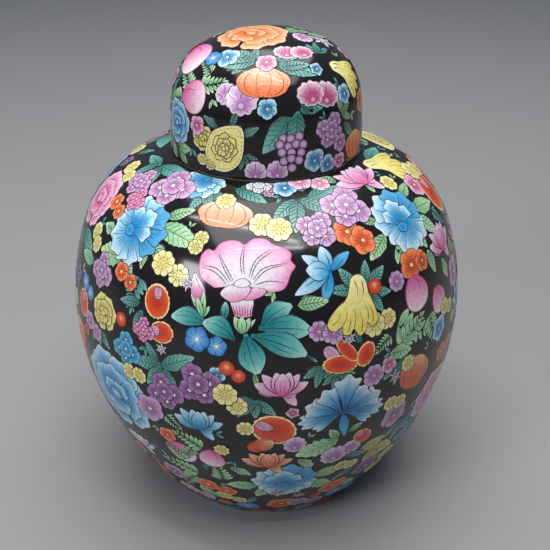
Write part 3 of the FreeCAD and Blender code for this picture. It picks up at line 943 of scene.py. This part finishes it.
# Kind, then where each of it stands: azimuth and run on the wall, size and, if any, turn.
# Leaves come first; flowers lie over them.
JAR_FRONT = (
    ("teal leaf", (-28, 156, 24, -62), (-28, 157, 22, 100), (-28, 156, 19, 145), (-27, 155, 22, 200),
     (-29, 158, 14, 40), (13, 262, 21, 128), (13, 260, 22, 165), (14, 262, 22, -125),
     (18, 262, 24, -72), (-15, 271, 22, -112), (-13, 272, 16, -75)),
    ("teal sprig", (-27, 265, 17, 185)), ("teal leaf", (-66, 268, 28, -72), (-66, 267, 18, -128),
     (-67, 268, 20, 88), (-69, 268, 17, 165)), ("teal feather", (-37.5, 205, 24, 172),
     (13, 271, 14, -60)), ("green leaf", (-36, 241, 17, -52), (-37, 235, 29, -96),
     (-38, 224, 18, -112), (-38.5, 221, 13, 184)), ("curly leaf", (-54, 220, 14, 88),
     (-46, 210, 24, 98), (-44, 210, 13, 215)), ("green leaf", (40, 236, 14, 62), (40, 228, 20, 122),
     (59, 242, 16, -70), (60, 232, 24, -98), (58, 228, 22, -140)), ("feather", (41, 219, 22, -130)),
    ("curly leaf", (53, 222, 14, 205)), ("green leaf", (55, 208, 16, 190)),
    ("teal leaf", (25, 203, 17, 78), (25, 204, 16, 32), (28, 204, 15, -12), (29, 203, 16, -52),
     (29, 200, 15, -100), (29, 200, 15, -150)), ("green leaf", (11, 206, 8, 150)),
    ("feather", (36, 176, 34, -112), (50, 172, 24, -160), (38, 164, 24, -60)),
    ("teal sprig", (14, 163, 14, 185)), ("teal leaf", (25, 172, 10, 20)),
    ("teal sprig", (37, 152, 16, 190), (18, 157, 12, 190), (-3, 143, 16, 160)),
    ("teal leaf", (-35, 186, 16, 160), (-36, 190, 16, 100), (-13, 158, 9, 200)),
    ("green leaf", (-3, 161, 9, 190)), ("curly leaf", (20, 107, 28, 117), (20, 108, 11, 40),
     (23, 111, 10, -55), (15, 70, 20, -78), (14, 62, 22, -125), (-3, 62, 20, 105), (0, 58, 16, 160)),
    ("gold leaf", (29, 86, 20, -70), (33, 82, 26, -110), (33, 80, 20, -150)),
    ("feather", (-18, 98, 22, 60), (-22, 66, 26, 75), (-14, 64, 22, 10), (-24, 62, 24, 150)),
    ("gold leaf", (-44, 40, 24, 160)), ("teal sprig", (44, 100, 20, 190)),
    ("teal leaf", (-75, 204, 26, -95)), ("green leaf", (-60, 196, 20, 92)),
    ("teal sprig", (-52, 160, 15, 160)), ("curly leaf", (62, 196, 14, -160)),
    ("teal leaf", (70, 272, 26, -85)), ("curly leaf", (36, 270, 13, 30), (49, 262, 9, 180)),
    ("teal leaf", (76, 220, 20, -120)),
    # flowers and fruit
    ("glory", (-6, 213, 26)), ("bud", (-16.8, 191, 26, 6)), ("blue cup", (50, 231, 22)),
    ("blue cup tilted", (-46, 228, 23, -32)), ("blue cup", (6, 66, 22, 6), (-33, 272, 15, 200)),
    ("ruffled fan", (20.5, 127, 26)), ("magnolia", (18.3, 216, 17)),
    ("pomegranate", (-30.5, 194, 8.7, 4)), ("small pomegranate", (-28.2, 177, 8, 10)),
    ("split pomegranate", (18.8, 166, 11.5)), ("pomegranate no seeds", (26.3, 165, 7, -25)),
    ("deep blue", (-12.7, 175.5, 6.5, 30), (-18, 178, 8, 10)), ("blue", (-12.5, 158, 6)),
    ("pink trio", (-34, 175, 8.5)), ("star", (-28, 167, 4)), ("berry", (-10, 163, 4.6),
     (-7, 158.5, 4.2)), ("pink lotus", (4, 151, 17)), ("plum trio", (-17.5, 150, 14.5, 30),
     (-27.5, 139, 13.5, 15)), ("yellow", (-7.5, 138.5, 7), (-10.5, 146, 8)),
    ("mauve bloom", (13.5, 184, 6.5), (17.4, 182, 7.2, 20)), ("star", (21.6, 177, 4.5)),
    ("yellow", (33.6, 182, 6.8), (29.3, 181, 7.8)), ("hand", (23.5, 198, 30)),
    ("berry", (30.8, 202.5, 4.6)), ("orange", (27, 236, 9), (31.2, 229, 9, 40)),
    ("pumpkin", (-15.5, 251, 16.5)), ("yellow", (-17, 260, 6.5), (-1.5, 245.5, 8),
     (4.2, 242.5, 8, 10)), ("mauve trio", (17, 241, 12.5, -40), (31.5, 252, 16, -30)),
    ("pink lotus", (49, 266, 19)), ("orange", (45.5, 206, 10), (50.5, 205, 7, 30)),
    ("mauve bloom", (38.5, 201, 6.5)), ("peach", (45.5, 189, 10.5, 15)),
    ("yellow pair", (-28.5, 214, 11.5)), ("star", (-22.2, 208, 4.5)), ("yellow", (-21, 234, 5),
     (-22, 228.5, 5)), ("pomegranate", (2, 121, 11.5, 65)), ("long fruit", (-1.5, 108, 9, -65)),
    ("yellow", (-5.5, 122, 6)), ("pale carnation", (7.7, 108, 7.5)), ("orange lotus", (0.5, 91, 17)),
    ("blue lotus", (-18, 121, 17)), ("blue peony", (-47, 118, 32)), ("pale carnation", (20, 91, 9.5),
     (25, 95, 7.5, -20)), ("small pomegranate", (28, 103, 7, -40)), ("peach", (-16, 90, 8.5),
     (-26, 89, 10, 60)), ("feather", (-21, 97, 15, 150), (-25, 80, 18, 40)), ("rose", (-50, 172, 13)),
    ("berry", (-42.3, 175, 4.5)), ("blue trio", (-40, 158, 12)), ("yellow", (-39, 144, 6),
     (-35.5, 144, 6)), ("mauve", (-33, 122, 11)), ("orange", (-29, 103, 7)),
    ("yellow", (-12.5, 101, 5.5)), ("orange pair", (-18, 50, 12)), ("pale lotus", (-44, 76, 15)),
    ("yellow", (24, 75, 6), (27.5, 73, 6)), ("orange", (25, 45, 11), (6, 27, 11)),
    ("star", (4, 49, 6)), ("plum", (36, 60, 11)), ("round pumpkin", (44, 138, 15, -20)),
    ("yellow", (40.5, 148, 6)), ("star", (36, 143, 5)), ("mauve bloom", (28.8, 149.5, 7.8)),
    ("pink", (33.6, 153, 6.5)), ("mauve", (38.5, 110, 11)), ("yellow", (35.8, 123, 6),
     (39.3, 121, 6)), ("pink lotus", (65, 205, 18)), ("peach", (56, 176, 8.5, 20)),
    ("yellow pair", (61, 166, 9)), ("blue", (55, 157, 9)), ("hand", (71, 262, 30, 60)),
    ("pomegranate", (81, 228, 13)), ("pink", (72, 241, 9)), ("yellow pair", (85, 244, 12)),
    ("mauve trio", (-45, 261, 16, 20), (-63, 253, 12)), ("pink trio", (-55, 243, 9)),
    ("yellow pair", (-77, 251, 10)), ("pink peony", (-77, 225, 22)), ("orange pair", (-61.5, 233, 9)),
    ("yellow", (-64, 213, 6.5), (-61, 207, 6)), ("orange pair", (-43, 201, 9)),
    ("mauve trio", (-54, 196, 12)), ("mauve pair", (-56, 158, 10)), ("blue pair", (-61, 179, 9)),
    ("pomegranate", (-63, 166, 8)), ("mauve trio", (1, 272, 8)), ("blue", (9, 272, 8)),
    ("pink pair", (22, 275, 11)), ("pale trio", (-4, 275, 8)), ("orange pair", (60, 138, 10, 30)),
    ("mauve", (70, 180, 11)), ("blue lotus", (74, 160, 17)), ("pink peony", (58, 104, 22)),
    ("round pumpkin", (-68, 140, 13, 20)), ("deep blue", (-8, 20, 9)), ("mauve pair", (16, 25, 12)),
    ("pink pair", (-30, 28, 12)), ("blue pair", (32, 28, 12)), ("yellow pair", (-14, 35, 10)),
    ("blue trio", (50, 80, 12)), ("plum", (-62, 90, 12)), ("yellow pair", (48, 60, 11)),
    ("pale carnation", (56, 40, 12)), ("orange", (-60, 60, 10)), ("blue pair", (-65, 30, 12)),
    ("mauve", (-34, 55, 10)), ("star", (12, 42, 5)),
)

LID_FRONT = (
    ("teal leaf", (13, 37, 14, 118), (14, 37, 27, 139), (18, 40, 24, 172), (19, 40, 20, -78),
     (24, 40, 14, 20), (-28, 29, 12, 60), (-20, 31, 11, -20), (-14, 26, 12, -60)),
    ("teal sprig", (-13, 15, 9, 190)), ("feather", (-46, 50, 20, -66), (-52, 46, 20, 60),
     (-58, 40, 22, 110)), ("green sprig", (48, 34, 12, -60)), ("teal leaf", (50, 28, 14, -140)),
    ("green sprig", (-60, 10, 16, -80)), ("teal sprig", (-12, 70, 14, 60)),
    ("teal leaf", (9, 68, 24, -105), (9, 71, 20, -62), (12, 66, 17, -82), (-9, 72, 18, 62),
     (-9, 70, 20, 98)), ("green sprig", (90, 92, 16, -60)), ("teal sprig", (52, 72, 12, -20)),
    ("feather", (-40, 58, 14, 60)), ("teal sprig", (-72, 52, 14, 100)),
    # flowers and fruit; the citron is laid again over the rose beside it
    ("citron", (-24, 18, 13.5)), ("rose", (-38, 21, 9)), ("citron", (-24, 18.2, 13.5)),
    ("pale carnation", (-25, 49, 7, 20), (-14.5, 47, 10)), ("blue", (0.5, 42, 6.5)),
    ("dotted pumpkin", (-2, 57, 16)), ("carnation", (38.5, 47, 9.5, -15), (27.5, 49, 9, 10)),
    ("blue", (53, 44, 6.5)), ("hand", (62, 54, 24, 60)), ("peach", (-49, 43, 10, 100)),
    ("pale carnation", (6, 6.5, 7), (-6, 6, 7)), ("grapes", (14, 17, 15)),
    ("mauve trio", (39, 26, 11.5, -30)), ("mauve", (46, 17, 6)), ("blue", (27.5, 10.5, 7.5),
     (36, 6.5, 6.5, 30)), ("pink", (45, 6.5, 5.5), (-42.5, 28, 6.5)), ("blue peony", (-63, 24, 15)),
    ("round pumpkin", (61, 12, 11)), ("orange peony", (-48, 98, 23)), ("blue", (-35, 71, 8)),
    ("deep blue", (-48, 68, 6)), ("pink", (0, 69.5, 7)), ("carnation", (20, 78, 7.5, -10),
     (36, 76, 7.5)), ("blue", (38, 62, 5)), ("peach", (-71, 64, 12, 80)), ("pink", (-83, 46, 7)),
    ("mauve bloom", (-82, 8, 7)), ("orange", (74, 34, 8)), ("blue pair", (84, 20, 9)),
    ("yellow pair", (-36, 8, 6)),
)

# What the far side grows instead, so that it is not the front mirrored.
FAR_SIDE = {
    "glory": "pink magnolia big", "blue cup": "pink cup", "blue cup tilted": "orange peony",
    "magnolia": "pink lotus", "pink lotus": "blue lotus", "ruffled fan": "pink fan",
    "blue peony": "pink peony", "pink peony": "blue peony", "hand": "small citron",
    "citron": "big hand", "pumpkin": "pomegranate", "orange peony": "blue peony",
    "mauve trio": "pink trio", "pink trio": "mauve trio", "carnation": "blue", "orange": "mauve",
    "mauve": "orange", "blue lotus": "orange lotus", "orange lotus": "pink lotus",
    "deep blue": "pink", "pale carnation": "yellow", "peach": "round pumpkin",
    "round pumpkin": "peach", "plum": "blue trio", "plum trio": "blue trio",
    "dotted pumpkin": "pumpkin", "rose": "mum",
}

# What fills the bare places, from large to small: kinds, sizes and number of tries.
SMALL = ("yellow", "mauve bloom", "blue", "pink", "orange", "star", "pale carnation", "berry", "plum")
LEAFY = ("teal leaf", "green leaf", "feather", "teal feather", "curly leaf")
SPROUTS = ("green sprout", "teal sprout")
FILLINGS = (
    (("blue cup", "pink peony", "orange lotus", "pink lotus", "blue lotus", "round pumpkin", "peach",
      "ruffled fan", "pomegranate", "magnolia", "orange peony", "mauve trio"), 11, 18, 900),
    (SMALL, 6, 9, 1500),
    (LEAFY, 13, 20, 2500),
    (SPROUTS + SMALL, 4, 6, 2500),
)


def rows(table):
    """Kind, azimuth, run, size and turn of each plant in a table."""
    for kind, *places in table:
        for azimuth, run, size, *turn in places:
            yield kind, azimuth, run, size, turn[0] if turn else 0


def grow(wall, table):
    for kind, azimuth, run, size, turn in rows(table):
        plant(kind, Brush(wall, azimuth, run, turn), size)


def grow_behind(wall, table, limit, crown):
    """The same garden on the far side, mirrored and replanted, kept clear of the near side."""
    for kind, azimuth, run, size, turn in rows(table):
        if abs(azimuth) < limit and run < crown:
            plant(FAR_SIDE.get(kind, kind), Brush(wall, 180 - azimuth, run, turn).flipped(), size)


def grow_broad_leaves(wall, side):
    """The big leaves at the front (side 1) or mirrored at the back (side -1)."""
    middle = 0 if side > 0 else 180
    for azimuth, run, azimuth_2, run_2, width, bow in BROAD_LEAVES:
        brush = Brush(wall, middle + side * azimuth, run)
        broad_leaf(brush, middle + side * azimuth_2, run_2, width, side * bow)


def fill_gaps(wall, kinds, smallest, largest, tries, seed, reach):
    """Plants small things wherever the glaze is still bare, up to a run on the wall."""
    pick = random.Random(seed)
    for _ in range(tries):
        azimuth, run = pick.uniform(-180, 180), pick.uniform(3, min(reach, wall.length))
        size, kind, turn = pick.uniform(smallest, largest), pick.choice(kinds), pick.uniform(0, 360)
        brush = Brush(wall, azimuth, run, turn)
        if kind in LEAFY + SPROUTS:
            spots = [(0, 0), (0, 0.5), (0, 0.95), (0.25, 0.5), (-0.25, 0.5)]
        else:
            spots = [(r * math.sin(a), r * math.cos(a)) for r in (0, 0.45, 0.9)
                     for a in np.arange(12) * math.pi / 6]
        if wall.relief[wall.cells(*brush.land(*(size * np.array(spots)).T))].max() == 0:
            plant(kind, brush, size)


# ---------------------------------------------------------------- materials
def material(name, roughness, coat=0.0):
    """A new material, with its nodes, links and shader."""
    made = bpy.data.materials.new(name)
    made.use_nodes = True
    shader = made.node_tree.nodes["Principled BSDF"]
    shader.inputs["Roughness"].default_value = roughness
    shader.inputs["Coat Weight"].default_value = coat
    shader.inputs["Coat Roughness"].default_value = 0.05
    return made, made.node_tree.nodes, made.node_tree.links, shader


def noise(nodes, links, scale, detail=3.0, roughness=0.5):
    """A noise texture laid over the piece's own shape."""
    place = nodes.new("ShaderNodeTexCoord")
    texture = nodes.new("ShaderNodeTexNoise")
    texture.inputs["Scale"].default_value = scale
    texture.inputs["Detail"].default_value = detail
    texture.inputs["Roughness"].default_value = roughness
    links.new(place.outputs["Object"], texture.inputs["Vector"])
    return texture


def ripple(nodes, links, shader, scale, strength, distance):
    """The slight unevenness of a fired surface."""
    bump = nodes.new("ShaderNodeBump")
    bump.inputs["Strength"].default_value = strength
    bump.inputs["Distance"].default_value = distance
    links.new(noise(nodes, links, scale, 2.0).outputs["Fac"], bump.inputs["Height"])
    links.new(bump.outputs["Normal"], shader.inputs["Normal"])


def mottle(nodes, links, shader, dark, light, scale):
    """A base colour that wanders between two linear colours."""
    ramp = nodes.new("ShaderNodeValToRGB")
    ramp.color_ramp.elements[0].color = (*dark, 1)
    ramp.color_ramp.elements[1].color = (*light, 1)
    links.new(noise(nodes, links, scale).outputs["Fac"], ramp.inputs["Fac"])
    links.new(ramp.outputs["Color"], shader.inputs["Base Color"])


def black_glaze():
    made, nodes, links, shader = material("black_glaze", 0.13)
    mottle(nodes, links, shader, (0.006, 0.005, 0.006), (0.013, 0.010, 0.011), 28.0)
    ripple(nodes, links, shader, 45.0, 0.25, 0.0006)
    return made


def enamel():
    """Painted enamel: the patch's own colour with the streaks of a brush in it."""
    made, nodes, links, shader = material("enamel", 0.32, 0.25)
    paint = nodes.new("ShaderNodeAttribute")
    paint.attribute_name = "paint"
    streak = noise(nodes, links, 420.0, 4.0, 0.65)
    ramp = nodes.new("ShaderNodeValToRGB")
    for element, position, grey in zip(ramp.color_ramp.elements, (0.3, 0.72), (0.74, 1.08)):
        element.position = position
        element.color = (grey, grey, grey, 1)
    mix = nodes.new("ShaderNodeMix")
    mix.data_type, mix.blend_type = "RGBA", "MULTIPLY"
    mix.inputs["Factor"].default_value = 1.0
    links.new(streak.outputs["Fac"], ramp.inputs["Fac"])
    links.new(paint.outputs["Color"], mix.inputs["A"])
    links.new(ramp.outputs["Color"], mix.inputs["B"])
    links.new(mix.outputs["Result"], shader.inputs["Base Color"])
    ripple(nodes, links, shader, 700.0, 0.2, 0.0002)
    return made


def mottled(name, dark, light, roughness, scale, bump=0.2):
    """A slightly uneven plain colour."""
    made, nodes, links, shader = material(name, roughness)
    mottle(nodes, links, shader, linear(dark), linear(light), scale)
    ripple(nodes, links, shader, 3 * scale, bump, 0.0002)
    return made


def lid_seat():
    """Bare porcelain under the lid's rim, black glaze from there outwards."""
    made, nodes, links, shader = material("lid_seat", 0.4)
    place = nodes.new("ShaderNodeTexCoord")
    level = nodes.new("ShaderNodeVectorMath")
    level.operation = "MULTIPLY"
    level.inputs[1].default_value = (1, 1, 0)
    radius = nodes.new("ShaderNodeVectorMath")
    radius.operation = "LENGTH"
    outside = nodes.new("ShaderNodeMath")
    outside.operation = "GREATER_THAN"
    outside.inputs[1].default_value = SEAT_GLAZED * MM
    mix = nodes.new("ShaderNodeMix")
    mix.data_type = "RGBA"
    mix.inputs["A"].default_value = (*linear((0.83, 0.80, 0.74)), 1)
    mix.inputs["B"].default_value = (0.010, 0.008, 0.009, 1)
    links.new(place.outputs["Object"], level.inputs[0])
    links.new(level.outputs["Vector"], radius.inputs[0])
    links.new(radius.outputs["Value"], outside.inputs[0])
    links.new(outside.outputs["Value"], mix.inputs["Factor"])
    links.new(mix.outputs["Result"], shader.inputs["Base Color"])
    return made


def facing(face):
    """Height, radius and normal of a face of a piece of revolution, and how far it looks out."""
    centre, normal = face.center / MM, face.normal
    radius = math.hypot(centre.x, centre.y)
    outward = (centre.x * normal.x + centre.y * normal.y) / max(radius, 1e-6)
    return centre.z, radius, normal, outward


BLACK, WHITE_INSIDE, BARE, UNDER_LID = range(4)


def glaze_jar(face):
    """Black outside, white inside and beneath, bare where the lid and the table touch."""
    z, radius, normal, outward = facing(face)
    if (z < FOOT_ROUND and normal.z < 0.3) or z > NECK_LIP:
        return BARE
    if SEAT_INNER < radius < SEAT_OUTER and abs(z - SEAT) < SEAT_DEPTH and normal.z > -0.1:
        return UNDER_LID
    inside_neck = radius < NECK_REACH and z > NECK_FOOT and outward < 0.2
    return WHITE_INSIDE if outward < 0.01 or inside_neck else BLACK


def glaze_lid(face):
    """Black outside, white inside, bare along the edge."""
    z, radius, normal, outward = facing(face)
    if z < LID_EDGE + RIM_ROUND and normal.z < -0.4:
        return BARE
    top = radius < CROWN_MIDDLE and z > LID_EDGE + CROWN
    return WHITE_INSIDE if outward <= 0.0 and not top else BLACK


# ---------------------------------------------------------------- the jar
LID_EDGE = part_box("lid")[0].z / MM
jar = Wall("jar_body", "jar", FOOT_ROUND, JAR_OUTSIDE, domed=False)
cap = Wall("lid", "jar_lid", LID_EDGE + RIM_BARE, -1, domed=True)
grow_broad_leaves(jar, 1)
grow(jar, JAR_FRONT)
grow(cap, LID_FRONT)
grow_behind(jar, JAR_FRONT, limit=84, crown=jar.length)
grow_behind(cap, LID_FRONT, limit=80, crown=85)
grow_broad_leaves(jar, -1)
for kinds, smallest, largest, tries in FILLINGS:
    fill_gaps(jar, kinds, smallest, largest, tries, seed=7, reach=274)
    fill_gaps(cap, kinds, smallest, largest, tries // 4, seed=11, reach=108)

white_glaze = mottled("white_glaze", (0.84, 0.86, 0.84), (0.91, 0.92, 0.90), 0.15, 20.0)
bisque = mottled("bisque", (0.78, 0.74, 0.68), (0.88, 0.85, 0.80), 0.8, 90.0, 0.4)
seat = lid_seat()
for name, glaze in (("jar_body", glaze_jar), ("lid", glaze_lid)):
    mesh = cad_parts[name].data
    mesh.materials.clear()
    for skin in (black_glaze(), white_glaze, bisque, seat)[:4 if name == "jar_body" else 3]:
        mesh.materials.append(skin)
    for face in mesh.polygons:
        face.material_index = glaze(face)

enamel_paint = enamel()
ink_paint = mottled("ink", INK, (0.14, 0.10, 0.12), 0.35, 150.0)
for (body, family), gathered in pools.items():
    mesh = bpy.data.meshes.new(f"{body}_{family}_enamel")
    mesh.from_pydata((np.vstack(gathered.points) * MM).tolist(), [], gathered.faces)
    mesh.shade_smooth()
    if family.startswith("ink"):
        mesh.materials.append(ink_paint)
    else:
        colours = linear(np.vstack(gathered.colours))
        paint = mesh.attributes.new("paint", "FLOAT_COLOR", "POINT")
        paint.data.foreach_set("color", np.c_[colours, np.ones(len(colours))].ravel())
        mesh.materials.append(enamel_paint)
    piece = bpy.data.objects.new(mesh.name, mesh)
    bpy.context.scene.collection.objects.link(piece)
    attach(piece, body)


# ---------------------------------------------------------------- floor, lights and camera
def floor():
    bpy.ops.mesh.primitive_plane_add(size=60)
    ground = bpy.context.object
    ground.name = "floor"
    made, _, _, shader = material("floor", 0.6)
    shader.inputs["Base Color"].default_value = (0.26, 0.252, 0.25, 1)
    ground.data.materials.append(made)


def soft_box(name, place, target, size, power, colour=(1, 1, 1)):
    """A rectangular lamp."""
    light = bpy.data.lights.new(name, "AREA")
    light.shape = "RECTANGLE"
    light.size, light.size_y = size
    light.energy = power
    light.color = colour
    lamp = bpy.data.objects.new(name, light)
    lamp.location = place
    lamp.rotation_euler = (Vector(target) - Vector(place)).to_track_quat("-Z", "Y").to_euler()
    bpy.context.scene.collection.objects.link(lamp)


def camera(place, downward, focal_length, shift):
    """A camera in front of the jar that looks down by an angle in degrees."""
    lens = bpy.data.cameras.new("camera")
    lens.sensor_width = 36
    lens.lens = focal_length
    lens.shift_x = shift
    eye = bpy.data.objects.new("camera", lens)
    eye.location = place
    eye.rotation_euler = (math.radians(90 - downward), 0, 0)
    bpy.context.scene.collection.objects.link(eye)
    bpy.context.scene.camera = eye


floor()
camera(place=(0, -0.53375, 0.4322), downward=28.54, focal_length=58.9, shift=0.0155)
# Name, place, what it points at, width and depth, watts.
soft_box("overhead", (0.05, 0.12, 1.62), (0.05, 0.1, 0), (1.5, 1.75), 31)
soft_box("long tube", (-0.2, -0.25, 1.55), (-0.1, -0.1, 0.3), (1.4, 0.03), 5)
soft_box("short tube", (0.03, -0.78, 1.55), (0, -0.2, 0.3), (0.94, 0.03), 3.5)
soft_box("fill", (-1.35, -1.3, 1.15), (0, 0, 0.15), (0.6, 0.6), 16, (0.92, 0.96, 1.0))
world = bpy.data.worlds.new("world")
world.use_nodes = True
surroundings = world.node_tree.nodes["Background"]
surroundings.inputs["Color"].default_value = (0.44, 0.55, 0.68, 1)
surroundings.inputs["Strength"].default_value = 0.3
bpy.context.scene.world = world
bpy.context.scene.view_settings.view_transform = "Standard"
